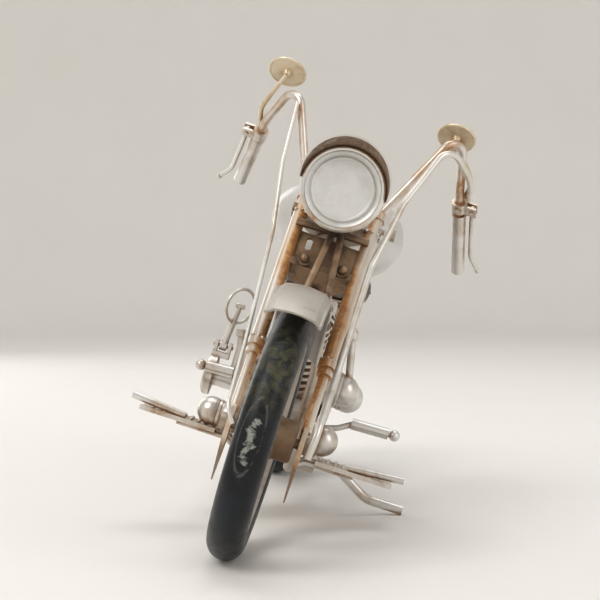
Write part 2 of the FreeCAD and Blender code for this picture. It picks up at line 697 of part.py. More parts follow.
def floorboard(side):
    """Ribbed board on two bearers, with a rolled tube across its front edge."""
    plate = box(17.0, 42.6, 48.5, 63.0, 26.6, 27.3)
    lip = box(17.0, 42.6, 47.9, 48.6, 26.6, 28.1)
    ribs = [box(18.0 + 2.6 * k, 18.9 + 2.6 * k, 48.8, 62.6, 27.3, 27.9) for k in range(9)]
    bearers = [wire_rod([V(9.4, y, rail_z + 1.2), V(13.5, y, 25.9), V(30.0, y, 26.0)], 0.9,
                        3.0) for y in (52.0, 60.0)]
    rail = cyl(V(27.6, 49.6, 28.8), V(46.0, 49.6, 30.3), 1.15)
    bore = cyl(V(44.0, 49.6, 30.14), V(47.0, 49.6, 30.38), 0.65)
    board = fuse(plate, lip, rail, *(ribs + bearers)).cut(bore)
    if side < 0:
        return mirrored(board)
    return board


def exhaust():
    """Two header pipes on the right, swept back into one open-ended silencer."""
    start = V(-15.4, 106.0, 23.0)
    run = V(-1.8, 64.0, 2.0)
    pts = [(0.0, 0.0), (0.0, 2.0), (1.5, 2.0), (6.0, 3.4), (64.0, 3.4), (64.0, 2.5), (58.0, 2.5),
           (58.0, 0.0)]
    half_section = Part.Face(Part.makePolygon([V(r, 0, d) for d, r in pts + [pts[0]]]))
    can = half_section.revolve(V(0, 0, 0), V(0, 0, 1), 360)
    can.Placement = FreeCAD.Placement(start, FreeCAD.Rotation(V(0, 0, 1), run))
    front = wire_rod([V(-6.0, 61.5, 62.0), V(-14.4, 56.0, 58.0), V(-14.6, 58.0, 30.0), V(-15.0, 76.0, 22.8),
                      V(-15.42, 107.0, 23.03)], 1.5, 7.0)
    back = wire_rod([V(-6.0, 93.0, 62.0), V(-14.4, 98.0, 57.0), V(-15.0, 99.0, 40.0),
                     V(-15.8, 118.0, 24.2)], 1.4, 6.0)
    return fuse(can, front, back)


def chain_case():
    """Closed tin case over the drive on the left, from the engine to the rear hub."""
    x0 = 13.2
    front = V(x0, 94.0, 32.0)
    back = V(x0, wheelbase, rear_axle_z)
    run = back - front
    square = V(1, 0, 0).cross(run).normalize()
    pts = [front + square * 5.6, back + square * 6.6, back - square * 6.6, front - square * 5.6]
    case = Part.Face(Part.makePolygon(pts + [pts[0]])).extrude(V(2.6, 0, 0))
    ends = [Part.makeCylinder(5.6, 2.6, front, V(1, 0, 0)), Part.makeCylinder(6.6, 2.6, back, V(1, 0, 0))]
    bridge = cyl(V(9.8, 94.0, 32.0), V(13.4, 94.0, 32.0), 3.0)
    return fuse(case, bridge, *ends)


# ---- stand and gear lever ----
stand_pivot = V(14.6, 78.0, 24.2)
stand_foot_x = 50.0
foot_r = 1.6
foot_flat = 0.3            # depth of the flat worn on the foot


def ground_height(x):
    """Height of the leaned bike's ground plane in the upright frame."""
    return front_section - front_section / math.cos(lean_rad) + x * math.tan(lean_rad)


def stand_bracket():
    """Lug on the left rail with the upright pivot pin of the side stand."""
    plate = box(8.6, 17.0, 75.6, 80.4, rail_z - 2.8, rail_z - 1.2)
    pin = Part.makeCylinder(1.0, 7.0, V(stand_pivot.x, stand_pivot.y, rail_z - 2.4))
    head = Part.makeCylinder(1.7, 0.9, V(stand_pivot.x, stand_pivot.y, rail_z + 3.9))
    return fuse(plate, pin, head)


def side_stand():
    """Bent leg, its eye on the pivot pin and its end resting on the ground."""
    end_z = ground_height(stand_foot_x) + foot_r / math.cos(lean_rad)
    knee_z = ground_height(37.0) + foot_r / math.cos(lean_rad) + 3.6
    leg = wire_rod([stand_pivot, V(25.0, 78.0, 23.4), V(37.0, 77.4, knee_z),
                    V(stand_foot_x, 76.4, end_z - foot_flat)], foot_r, 9.0)
    eye = Part.makeCylinder(2.4, 4.4, V(stand_pivot.x, stand_pivot.y, rail_z - 0.8))
    hole = Part.makeCylinder(1.0 + run_fit, 12, V(stand_pivot.x, stand_pivot.y, rail_z - 6))
    return fuse(leg, eye).cut(hole)


gear_pivot = V(-25.4, 80.0, 51.5)


def gear_bracket():
    """Small box on top of the side cover, with a cross pin for the gear lever."""
    block = box(-28.4, -22.4, 78.2, 81.8, 47.4, 49.3)
    cheeks = [box(-28.4, -27.2, 78.6, 81.4, 49.0, 53.2), box(-23.6, -22.4, 78.6, 81.4, 49.0, 53.2)]
    pin = cyl(V(-28.9, 80, 51.5), V(-21.9, 80, 51.5), 0.6)
    return fuse(block, pin, *cheeks)


def gear_lever():
    """Rod with an eye below and a wire ring with a cross bar at the hand end."""
    top = V(-23.9, 80.0, 66.4)
    eye = cyl(V(-26.6, 80, 51.5), V(-24.2, 80, 51.5), 1.5)
    rod = fuse(cone(gear_pivot, top, 1.25, 0.85), cyl(top - V(1.6, 0, 0), top + V(1.6, 0, 0), 0.9))
    ring = Part.makeTorus(6.1, 0.55, V(0, 0, 0), V(1, 0, 0))
    ring.rotate(V(0, 0, 0), V(0, 0, 1), -42)
    ring.rotate(V(0, 0, 0), V(0, 1, 0), 6)
    ring.translate(top)
    hole = cyl(V(-30, 80, 51.5), V(-20, 80, 51.5), 0.6 + run_fit)
    return fuse(eye, rod, ring).cut(hole)


# ---- assembly ----
def notch(body):
    """Shape every later piece round the earlier ones it is soldered to."""
    done = {}
    for name, shape in body.items():
        for earlier in done.values():
            if shape.BoundBox.intersect(earlier.BoundBox):
                shape = shape.cut(earlier)
        whole = shape.Volume
        solids = [s for s in shape.Solids if s.Volume > 0.012 * whole]
        done[name] = solids[0] if len(solids) == 1 else group(*solids)
    return done


front_rim_solid = rim(front_centre, front_ring, front_section)
rear_rim_solid = rim(rear_centre, rear_ring, rear_section)
front_wheel = {
    "front_rim": front_rim_solid,
    "front_tyre": tyre(front_centre, front_ring, front_section, front_rim_solid),
    "front_hub": front_hub(),
    "front_spokes": spokes(front_centre, front_ring, front_section, 4.2, 5.4, 20),
}
rear_wheel = {
    "rear_rim": rear_rim_solid,
    "rear_tyre": tyre(rear_centre, rear_ring, rear_section, rear_rim_solid),
    "rear_hub": rear_hub(),
    "rear_spokes": spokes(rear_centre, rear_ring, rear_section, 4.2, 5.8, 20),
}
steering = {
    "front_axle": axle(front_centre, fork_x[-1][0] + blade / 2, fork_x[1][0] + blade / 2),
    "fork_left": fork(1),
    "fork_right": fork(-1),
    "lower_yoke": fuse(yoke(yoke_at, 2.6, 10.6, 12.2), steering_stem(), apron(), yoke_pin(7.4),
                       yoke_pin(-5.0)),
    "upper_yoke": fuse(yoke(78.2, 2.2, 14.2, 15.2), clamp_bolt()),
    "lamp_cross_bar": lamp_bar(),
    "headlight_shell": lamp_shell(),
    "headlight_rim": lamp_rim(),
    "headlight_disc": lamp_disc(),
    "headlight_visor": lamp_visor(),
    "front_fender": front_fender(),
    "fender_struts": fender_struts(),
    "handlebar_left": wire_rod(bar_left, bar_r, 7.0),
    "handlebar_right": wire_rod(bar_right, bar_r, 7.0),
    "grips": group(grip(bar_left), grip(bar_right)),
    "lever_clamps": group(clamp(bar_left), clamp(bar_right)),
    "mirrors": group(mirror(bar_left, mirror_left_at, V(38.6, 62.0, 129.0)),
                     mirror(bar_right, mirror_right_at, V(-35.4, 61.5, 132.0))),
    "cable_left": cable_left(),
    "cable_right": cable_right(),
}
chassis = {
    "steering_head": head_tube(),
    "backbone_tube": backbone(),
    "frame_tube_left": fuse(side_tube(1), axle_plate(1), stand_bracket()),
    "frame_tube_right": fuse(side_tube(-1), axle_plate(-1)),
    "rear_axle": axle(rear_centre, 12.1, 12.1),
    "top_stays": group(top_stay(1), top_stay(-1)),
    "crankcase": crankcase(),
    "cylinder_front": cylinder(70.0, -20),
    "cylinder_rear": cylinder(86.0, 20),
    "cylinder_heads": group(cylinder_head(70.0, -20), cylinder_head(86.0, 20)),
    "rod_covers": pushrods(),
    "generator_drum": drum_x(1, 9.0, 16.2, 6.4, 5.1, 52.0, 34.4),
    "right_drum": fuse(drum_x(-1, 9.0, 19.2, 4.2, 4.7, 51.5, 32.8), ball(V(-13.6, 51.3, 32.7), 5.0)),
    "upper_case_domes": fuse(drum_x(1, 8.8, 17.8, 5.7, 5.4, 75.0, 49.8),
                             drum_x(1, 8.8, 19.8, 5.0, 5.4, 87.0, 47.0), breather()),
    "side_cover": fuse(side_cover(), gear_bracket()),
    "carburettor": carburettor(),
    "foot_pegs": group(foot_peg(1), foot_peg(-1)),
    "floorboard_left": floorboard(1),
    "floorboard_right": floorboard(-1),
    "exhaust": exhaust(),
    "chain_case": chain_case(),
    "tank_left": tank_lobe(1),
    "tank_right": tank_lobe(-1),
    "tank_caps": group(tank_cap(1), tank_cap(-1)),
    "seat_springs": seat_springs(),
    "seat_pan": saddle(-1.2, 76.6, 77.8),
    "seat": saddle(0.0, 77.8, 89.0),
    "rear_fender": rear_fender(),
    "rear_fender_stays": group(fender_stay(1), fender_stay(-1)),
}
single = {
    "clutch_lever": lever(bar_left),
    "brake_lever": lever(bar_right),
    "side_stand": side_stand(),
    "gear_lever": gear_lever(),
}

pieces = {}
for body in (front_wheel, rear_wheel, steering, chassis):
    pieces.update(notch(body))
pieces.update(single)

for name, shape in pieces.items():
    shape.rotate(V(0, 0, front_section), V(0, 1, 0), lean_angle)
    shape.translate(V(-origin_x, -origin_y, 0))
    if name == "side_stand":
        shape = shape.cut(box(-90, 90, -150, 150, -20, 0))
    shape.exportStep("parts/" + name + ".step")
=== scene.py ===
import bmesh
import bpy
import json
import math
import random
from mathutils import Matrix, Vector, noise
from mathutils.bvhtree import BVHTree


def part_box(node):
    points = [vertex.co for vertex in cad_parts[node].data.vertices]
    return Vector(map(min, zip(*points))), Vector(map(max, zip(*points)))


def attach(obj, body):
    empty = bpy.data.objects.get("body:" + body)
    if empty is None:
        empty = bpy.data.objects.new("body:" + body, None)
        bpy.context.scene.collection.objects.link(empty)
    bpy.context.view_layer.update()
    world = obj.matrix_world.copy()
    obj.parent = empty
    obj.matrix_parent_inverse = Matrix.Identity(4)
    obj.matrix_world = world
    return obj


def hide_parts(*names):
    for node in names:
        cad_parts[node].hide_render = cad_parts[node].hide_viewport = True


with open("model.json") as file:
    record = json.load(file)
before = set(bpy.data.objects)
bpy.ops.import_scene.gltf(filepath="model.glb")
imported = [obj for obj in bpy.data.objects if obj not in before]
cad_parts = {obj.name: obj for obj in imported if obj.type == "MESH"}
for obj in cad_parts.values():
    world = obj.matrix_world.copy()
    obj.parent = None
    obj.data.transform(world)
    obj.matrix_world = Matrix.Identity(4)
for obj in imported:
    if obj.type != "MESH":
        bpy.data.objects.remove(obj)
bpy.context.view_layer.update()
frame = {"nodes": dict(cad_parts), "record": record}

MM = 0.001
NODES = frame["nodes"]
JOINTS = {joint["name"]: joint for joint in frame["record"]["behaviour"]["joints"]}
FORK_AXIS = Vector(JOINTS["steer"]["axis"])
ACROSS = Vector(JOINTS["front_wheel_spin"]["axis"])
FRONT_AXLE = Vector(JOINTS["front_wheel_spin"]["pos_m"])
REAR_AXLE = Vector(JOINTS["rear_wheel_spin"]["pos_m"])
BACK = Vector((0.0, 1.0, 0.0))
BIKE_UP = ACROSS.cross(BACK).normalized()
SHADER_SAMPLES = 4
SKIN_BUMP = 0.2 * MM


# ---------------------------------------------------------------- node helpers
class Mat:
    """A principled material with short calls for the nodes that feed it."""

    def __init__(self, name, metallic=0.0, roughness=0.5, specular=0.5):
        self.mat = bpy.data.materials.new(name)
        self.mat.use_nodes = True
        self.tree = self.mat.node_tree
        self.tree.nodes.clear()
        out = self.tree.nodes.new("ShaderNodeOutputMaterial")
        self.shader = self.tree.nodes.new("ShaderNodeBsdfPrincipled")
        self.tree.links.new(self.shader.outputs["BSDF"], out.inputs["Surface"])
        self.shader.inputs["Metallic"].default_value = metallic
        self.shader.inputs["Roughness"].default_value = roughness
        self.shader.inputs["Specular IOR Level"].default_value = specular
        self.point = self.tree.nodes.new("ShaderNodeTexCoord").outputs["Object"]

    def put(self, socket, value):
        if isinstance(value, bpy.types.NodeSocket):
            self.tree.links.new(value, socket)
        else:
            socket.default_value = value

    def set(self, name, value):
        self.put(self.shader.inputs[name], value)

    def stretch(self, scale, turn):
        """Coordinates scaled along turned axes."""
        node = self.tree.nodes.new("ShaderNodeMapping")
        self.put(node.inputs["Vector"], self.point)
        node.inputs["Scale"].default_value = scale
        node.inputs["Rotation"].default_value = turn
        return node.outputs["Vector"]

    def along(self, direction, ratio):
        """Coordinates drawn out along a direction, for streaks."""
        node = self.tree.nodes.new("ShaderNodeMapping")
        node.vector_type = "TEXTURE"
        self.put(node.inputs["Vector"], self.point)
        node.inputs["Rotation"].default_value = direction.to_track_quat("Z", "Y").to_euler()
        node.inputs["Scale"].default_value = (1.0, 1.0, ratio)
        return node.outputs["Vector"]

    def normal(self):
        return self.tree.nodes.new("ShaderNodeTexCoord").outputs["Normal"]

    def dot(self, a, b):
        return self.vector("DOT_PRODUCT", a, b).outputs["Value"]

    def from_point(self, place):
        """Vector from a fixed place to the shaded point."""
        return self.vector("SUBTRACT", self.point, tuple(place)).outputs["Vector"]

    def facing(self, direction, about):
        """How far the surface faces outward, along a direction, from a plane through a point."""
        turn = self.dot(self.normal(), tuple(direction))
        side = self.dot(self.from_point(about), tuple(direction))
        return self.math("MULTIPLY", turn, self.math("SIGN", side, 0.0))

    def vector(self, operation, a, b):
        node = self.tree.nodes.new("ShaderNodeVectorMath")
        node.operation = operation
        self.put(node.inputs[0], a)
        self.put(node.inputs[1], b)
        return node

    def noise(self, scale, detail=4.0, rough=0.55, warp=0.0, at=None):
        node = self.tree.nodes.new("ShaderNodeTexNoise")
        self.put(node.inputs["Vector"], at or self.point)
        node.inputs["Scale"].default_value = scale
        node.inputs["Detail"].default_value = detail
        node.inputs["Roughness"].default_value = rough
        node.inputs["Distortion"].default_value = warp
        return node.outputs["Fac"]

    def cells(self, scale):
        node = self.tree.nodes.new("ShaderNodeTexVoronoi")
        self.put(node.inputs["Vector"], self.point)
        node.inputs["Scale"].default_value = scale
        return node.outputs["Distance"]

    def step(self, value, low, high, out_low=0.0, out_high=1.0):
        node = self.tree.nodes.new("ShaderNodeMapRange")
        node.interpolation_type = "SMOOTHSTEP"
        self.put(node.inputs["Value"], value)
        node.inputs["From Min"].default_value = low
        node.inputs["From Max"].default_value = high
        node.inputs["To Min"].default_value = out_low
        node.inputs["To Max"].default_value = out_high
        return node.outputs["Result"]

    def math(self, operation, a, b):
        node = self.tree.nodes.new("ShaderNodeMath")
        node.operation = operation
        self.put(node.inputs[0], a)
        self.put(node.inputs[1], b)
        return node.outputs[0]

    def mix(self, factor, a, b):
        node = self.tree.nodes.new("ShaderNodeMix")
        node.data_type = "RGBA"
        self.put(node.inputs[0], factor)
        for socket, value in ((node.inputs[6], a), (node.inputs[7], b)):
            if not isinstance(value, bpy.types.NodeSocket):
                value = (*value, 1.0)
            self.put(socket, value)
        return node.outputs[2]

    def edges(self, radius, low, high):
        """1 where the surface turns sharply, 0 where it is flat."""
        bevel = self.tree.nodes.new("ShaderNodeBevel")
        bevel.samples = SHADER_SAMPLES
        bevel.inputs["Radius"].default_value = radius
        geometry = self.tree.nodes.new("ShaderNodeNewGeometry")
        bend = self.math("SUBTRACT", 1.0, self.dot(bevel.outputs["Normal"], geometry.outputs["Normal"]))
        return self.step(bend, low, high)

    def crevice(self, distance, low=0.35, high=0.95):
        """1 in corners that lie close to other metal, 0 in the open."""
        node = self.tree.nodes.new("ShaderNodeAmbientOcclusion")
        node.samples = SHADER_SAMPLES
        node.inputs["Distance"].default_value = distance
        return self.step(node.outputs["AO"], low, high, 1.0, 0.0)

    def bump(self, height, strength, distance):
        node = self.tree.nodes.new("ShaderNodeBump")
        node.inputs["Strength"].default_value = strength
        node.inputs["Distance"].default_value = distance
        self.put(node.inputs["Height"], height)
        self.set("Normal", node.outputs["Normal"])


def aged_tin(name, light, dark, rust, amount, metallic=0.75, rough=0.36, grain=0.12,
             nooks=0.3, reach=3.2, direction=None, extra=None, painted_shade=None, pitting=0.5):
    """Silvered tin: soft cloudy tone, a brown wash of grime and painted shade that gathers in the nooks,
    darker rust inside it.
    """
    m = Mat(name, metallic=metallic, roughness=rough)
    cloud = m.noise(42.0, 4.0, 0.5, 0.4)
    drift = m.noise(150.0, 6.0, 0.62, 0.7, at=m.along(direction, 5.0) if direction else None)
    speck = m.noise(1100.0, 3.0, 0.6)
    flake = m.noise(420.0, 6.0, 0.72, 0.8)
    # The nook mask darkens corners close to other metal: partly grime, partly painted shade.
    nook_dirt_and_shade = m.crevice(reach * MM)
    edge = m.edges(0.3 * MM, 0.06, 0.4)
    field = m.math("ADD", m.math("MULTIPLY", cloud, 0.5), m.math("MULTIPLY", drift, 0.5))
    level = m.math("ADD", field, m.math("MULTIPLY", nook_dirt_and_shade, nooks))
    level = m.math("ADD", level, m.math("MULTIPLY", edge, 0.04))
    if extra:
        level = m.math("ADD", level, extra(m))
    tone = m.mix(m.step(cloud, 0.32, 0.68), light, tuple(0.62 * a + 0.38 * b for a, b in zip(light, dark)))
    wash = m.step(level, 0.54 - amount, 0.76 - amount)
    stain = m.mix(m.step(flake, 0.35, 0.65), dark, tuple(0.5 * a + 0.5 * b for a, b in zip(dark, rust)))
    tone = m.mix(wash, tone, stain)
    heart = m.math("ADD", level, m.math("MULTIPLY", m.math("SUBTRACT", flake, 0.5), pitting))
    mask = m.step(heart, 0.70 - amount, 0.82 - amount)
    deep = m.mix(m.step(speck, 0.35, 0.7), rust, tuple(c * 0.45 for c in rust))
    tone = m.mix(m.math("MULTIPLY", mask, 0.85), tone, deep)
    pock = m.step(flake, 0.73, 0.80, 0.0, 0.4)
    # Painted shade: a dark brown laid where the given mask puts the part in shadow.
    if painted_shade:
        tone = m.mix(painted_shade(m), tone, (0.11, 0.075, 0.055))
    m.set("Base Color", m.mix(pock, tone, tuple(c * 0.5 for c in dark)))
    m.set("Roughness", m.math("ADD", m.step(speck, 0.3, 0.8, rough - 0.04, rough + 0.08),
                              m.math("MULTIPLY", mask, 0.28)))
    m.set("Metallic", m.math("SUBTRACT", metallic, m.math("MULTIPLY", mask, metallic * 0.85)))
    height = m.math("ADD", m.math("MULTIPLY", speck, 0.25), m.math("MULTIPLY", mask, flake))
    m.bump(m.math("SUBTRACT", height, m.math("MULTIPLY", pock, 0.5)), grain, SKIN_BUMP)
    return m


def inner_rust_and_shade(m):
    """Rust and painted shade on the sides of the fork that face each other."""
    facing = m.facing(ACROSS, FRONT_AXLE)
    return m.step(facing, 0.70, -0.50, -0.12, 0.17)


def painted_shade_below_axle(m):
    """Painted shade: the pointed blades under the axle are darkened."""
    depth = m.dot(m.from_point(FRONT_AXLE), tuple(BIKE_UP))
    return m.step(depth, -2.0 * MM, -9.0 * MM, 0.0, 0.75)


def peak_inside_shade(m):
    """Painted shade: the face of the peak towards the lamp gets more brown wash than its outside."""
    low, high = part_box("headlight_rim")
    out = m.vector("NORMALIZE", m.from_point((low + high) / 2), (0.0, 0.0, 0.0)).outputs["Vector"]
    return m.step(m.dot(out, m.normal()), 0.1, -0.3, 0.0, 0.32)


def tyre_dust(m, height, front):
    """Olive dust on the upper part of the front tyre."""
    dirty = m.noise(190.0, 7.0, 0.74, 1.0)
    raised = m.step(height, FRONT_AXLE.z + 4.0 * MM, FRONT_AXLE.z + 24.0 * MM)
    high_up = m.math("MULTIPLY", raised, front)
    return m.math("MULTIPLY", m.step(dirty, 0.42, 0.60), m.math("MULTIPLY", high_up, 0.72))


def tyre_scuff(m, front):
    """Pale scuffs: a torn patch and a ring on the front tyre, stray marks on both tyres."""
    patch_half_height = 10.5 * MM
    patch_half_width = 3.1 * MM
    spot = FRONT_AXLE - BACK * 37.0 * MM + BIKE_UP * 3.0 * MM - ACROSS * 0.6 * MM
    offset = m.from_point(spot)
    tall = m.math("DIVIDE", m.dot(offset, tuple(BIKE_UP)), patch_half_height)
    wide = m.math("DIVIDE", m.dot(offset, tuple(ACROSS)), patch_half_width)
    square = m.math("ADD", m.math("MULTIPLY", tall, tall), m.math("MULTIPLY", wide, wide))
    radius = m.math("SQRT", square, 0.0)
    torn = m.noise(170.0, 6.0, 0.7, 2.2)
    reach = m.math("ADD", radius, m.math("MULTIPLY", m.math("SUBTRACT", torn, 0.5), 2.4))
    worn = m.math("MULTIPLY", m.step(reach, 0.56, 0.32), front)
    worn = m.math("MULTIPLY", worn, m.step(m.noise(520.0, 6.0, 0.7, 1.2), 0.30, 0.52))
    ring = m.math("MULTIPLY", m.step(radius, 0.90, 0.98), m.step(radius, 1.10, 1.02))
    ring = m.math("MULTIPLY", ring, m.step(torn, 0.42, 0.56))
    ring = m.math("MULTIPLY", ring, m.math("MULTIPLY", front, 0.22))
    stray = m.math("MULTIPLY", m.step(m.noise(260.0, 7.0, 0.75, 2.4), 0.69, 0.73), 0.4)
    return m.math("MAXIMUM", m.math("MAXIMUM", worn, ring), stray)


def tyre_rubber():
    """Black rubber with dust and scuffs."""
    m = Mat("tyre_black", roughness=0.5, specular=0.24)
    cloud = m.noise(70.0, 5.0, 0.6, 0.8)
    fine = m.noise(500.0, 4.0, 0.65)
    base = m.mix(m.step(cloud, 0.4, 0.7), (0.0035, 0.004, 0.005), (0.010, 0.013, 0.017))
    place = m.tree.nodes.new("ShaderNodeSeparateXYZ")
    m.put(place.inputs[0], m.point)
    front_start = FRONT_AXLE.y - 34.0 * MM
    front_end = FRONT_AXLE.y - 10.0 * MM
    front = m.step(place.outputs["Y"], front_start, front_end, 1.0, 0.0)
    base = m.mix(tyre_dust(m, place.outputs["Z"], front), base, (0.085, 0.078, 0.035))
    scuff = tyre_scuff(m, front)
    base = m.mix(m.math("MULTIPLY", scuff, 0.8), base, (0.30, 0.31, 0.28))
    m.set("Base Color", base)
    m.set("Roughness", m.step(fine, 0.3, 0.7, 0.31, 0.46))
    m.bump(m.math("ADD", m.math("MULTIPLY", fine, 0.4), scuff), 0.2, SKIN_BUMP)
    return m


def saddle_leather():
    """Dark pebbled leather with paler creases."""
    m = Mat("saddle_leather", roughness=0.48, specular=0.45)
    cloud = m.noise(60.0, 4.0, 0.6, 0.5)
    pebble = m.cells(1100.0)
    crease = m.noise(240.0, 6.0, 0.7, 2.0)
    base = m.mix(m.step(cloud, 0.35, 0.7), (0.020, 0.013, 0.010), (0.060, 0.036, 0.024))
    base = m.mix(m.step(crease, 0.58, 0.72, 0.0, 0.5), base, (0.13, 0.085, 0.055))
    m.set("Base Color", base)
    m.set("Roughness", m.step(pebble, 0.1, 0.7, 0.58, 0.40))
    m.bump(m.math("ADD", m.math("MULTIPLY", pebble, 0.6), crease), 0.30, SKIN_BUMP)
    return m


def brushed_face():
    """The lamp's pressed face: satin tin with fine random scratches."""
    m = Mat("lamp_face", metallic=0.55, roughness=0.34)
    cloud = m.noise(110.0, 5.0, 0.6, 0.5)
    hair = m.noise(420.0, 6.0, 0.7, 0.4, at=m.stretch((1.0, 1.0, 7.0), (0.0, 0.5, 0.0)))
    hair_two = m.noise(420.0, 6.0, 0.7, 0.4, at=m.stretch((8.0, 1.0, 1.0), (0.0, -0.4, 0.0)))
    scratch = m.math("MAXIMUM", m.step(hair, 0.60, 0.70), m.step(hair_two, 0.62, 0.72))
    base = m.mix(m.step(cloud, 0.35, 0.7), (0.70, 0.70, 0.69), (0.60, 0.60, 0.58))
    base = m.mix(m.math("MULTIPLY", scratch, 0.5), base, (0.92, 0.92, 0.90))
    # Painted shade: darker brown in the recesses of the face, close to other metal.
    base = m.mix(m.crevice(0.8 * MM, 0.3, 0.8), base, (0.20, 0.17, 0.14))
    m.set("Base Color", base)
    m.set("Roughness", m.step(scratch, 0.0, 1.0, 0.46, 0.32))
    m.bump(m.math("ADD", m.math("MULTIPLY", scratch, -0.5), m.noise(900.0)), 0.12, SKIN_BUMP)
    return m


MATS = {
    "pearl_tin": aged_tin(
        "pearl_tin", light=(0.66, 0.655, 0.64), dark=(0.46, 0.43, 0.39), rust=(0.24, 0.16, 0.10),
        amount=0.02, metallic=0.38, rough=0.34, grain=0.05, nooks=0.20, reach=2.0),
    "peak_tin": aged_tin(
        "peak_tin", light=(0.68, 0.65, 0.61), dark=(0.44, 0.385, 0.325), rust=(0.24, 0.15, 0.09),
        amount=0.00, metallic=0.60, rough=0.36, grain=0.06, nooks=0.30, reach=3.0, extra=peak_inside_shade),
    "fender_tin": aged_tin(
        "fender_tin", light=(0.43, 0.40, 0.36), dark=(0.32, 0.28, 0.23), rust=(0.20, 0.12, 0.07),
        amount=0.01, metallic=0.35, rough=0.42, grain=0.06, nooks=0.14, reach=2.0),
    "bright_metal": aged_tin(
        "bright_metal", light=(0.76, 0.75, 0.73), dark=(0.50, 0.41, 0.31), rust=(0.36, 0.19, 0.08),
        amount=0.06, metallic=0.80, rough=0.33, grain=0.05, nooks=0.45, reach=2.4, pitting=0.45),
    "bar_tin": aged_tin(
        "bar_tin", light=(0.76, 0.74, 0.71), dark=(0.54, 0.38, 0.24), rust=(0.38, 0.17, 0.055),
        amount=0.12, metallic=0.72, rough=0.32, grain=0.08, nooks=0.32, reach=2.4, direction=FORK_AXIS),
    "rim_silver": aged_tin(
        "rim_silver", light=(0.60, 0.55, 0.50), dark=(0.38, 0.31, 0.25), rust=(0.20, 0.11, 0.06),
        amount=0.08, metallic=0.75, rough=0.34, grain=0.10, nooks=0.3),
    # aged_fork: rust mixed with painted shade on the tubes' inner sides, painted shade on the blades below
    # the axle.
    "aged_fork": aged_tin(
        "aged_fork", light=(0.78, 0.73, 0.65), dark=(0.62, 0.35, 0.15), rust=(0.40, 0.165, 0.045),
        amount=0.055, metallic=0.60, rough=0.35, grain=0.12, nooks=0.16, reach=5.0,
        direction=FORK_AXIS, extra=inner_rust_and_shade, painted_shade=painted_shade_below_axle),
    # brown_tin: near-black dark and rust colours with a wide nook reach paint the shade in the deep places
    # of the yoke and struts.
    "brown_tin": aged_tin(
        "brown_tin", light=(0.40, 0.265, 0.160), dark=(0.16, 0.090, 0.046), rust=(0.055, 0.028, 0.014),
        amount=0.06, metallic=0.5, rough=0.40, grain=0.14, nooks=0.45, reach=7.0),
    "aged_frame": aged_tin(
        "aged_frame", light=(0.48, 0.42, 0.35), dark=(0.27, 0.19, 0.12), rust=(0.17, 0.08, 0.035),
        amount=0.08, metallic=0.60, rough=0.40, grain=0.14, nooks=0.3),
    "brown_hub": aged_tin(
        "brown_hub", light=(0.20, 0.135, 0.08), dark=(0.13, 0.075, 0.04), rust=(0.16, 0.06, 0.02),
        amount=0.14, metallic=0.4, rough=0.5, grain=0.2, nooks=0.3),
    "cream_tin": aged_tin(
        "cream_tin", light=(0.76, 0.74, 0.70), dark=(0.56, 0.47, 0.35), rust=(0.32, 0.18, 0.08),
        amount=0.05, metallic=0.65, rough=0.33, grain=0.10, nooks=0.25, reach=2.4),
    "mirror_tin": aged_tin(
        "mirror_tin", light=(0.76, 0.68, 0.53), dark=(0.56, 0.42, 0.24), rust=(0.38, 0.20, 0.08),
        amount=0.10, metallic=0.55, rough=0.36, grain=0.10, nooks=0.30, reach=2.4),
    "engine_tin": aged_tin(
        "engine_tin", light=(0.60, 0.57, 0.53), dark=(0.38, 0.31, 0.24), rust=(0.24, 0.12, 0.055),
        amount=0.06, metallic=0.70, rough=0.36, grain=0.12, nooks=0.34),
    "tyre_black": tyre_rubber(),
    "saddle_leather": saddle_leather(),
    "lamp_face": brushed_face(),
}
SLOT_OF = {sub["node"]: sub["material_slot"] for sub in frame["record"]["subparts"]}


for node, obj in NODES.items():
    material = MATS[SLOT_OF[node]].mat
    if not obj.material_slots:
        obj.data.materials.append(material)
    for cell in obj.material_slots:
        cell.material = material


# ---------------------------------------------------------------- saddle
GROW = 12.0                  # the saddle is simulated this much larger than it is
VOXEL = 0.0115               # remeshing step at that size
PINNED = 2.6 * MM * GROW     # height of the band that stays on the pan
MOST_SWELL = 1.1 * MM * GROW
CLOTH_FRAMES = 20
WELT_POINTS = 96
WELT_RADIUS = 0.5 * MM
WELT_HEIGHT = 0.42           # part of the cushion's height


def add_object(name, mesh, slot):
    obj = bpy.data.objects.new(name, mesh)
    bpy.context.scene.collection.objects.link(obj)
    mesh.materials.clear()
    mesh.materials.append(MATS[slot].mat)
    for face in mesh.polygons:
        face.use_smooth = True
    return obj


def baked(obj):
    depsgraph = bpy.context.evaluated_depsgraph_get()
    return bpy.data.meshes.new_from_object(obj.evaluated_get(depsgraph))


def swell(cushion, rest):
    """Blow the cushion up as cloth under pressure, and cap how far each point moves."""
    cloth = cushion.modifiers.new("cloth", "CLOTH")
    cloth.settings.use_pressure = True
    cloth.settings.uniform_pressure_force = 4.0
    cloth.settings.vertex_group_mass = "pins"
    cloth.settings.effector_weights.gravity = 0.0
    cloth.settings.tension_stiffness = 14.0
    cloth.settings.compression_stiffness = 14.0
    cloth.settings.bending_stiffness = 1.2
    for step in range(1, CLOTH_FRAMES + 1):
        bpy.context.scene.frame_set(step)
    blown = baked(cushion)
    for vertex, co in zip(blown.vertices, rest):
        move = vertex.co - co
        if move.length > MOST_SWELL:
            vertex.co = co + move.normalized() * MOST_SWELL
    cushion.modifiers.clear()
    cushion.data = blown
    bpy.context.scene.frame_set(1)


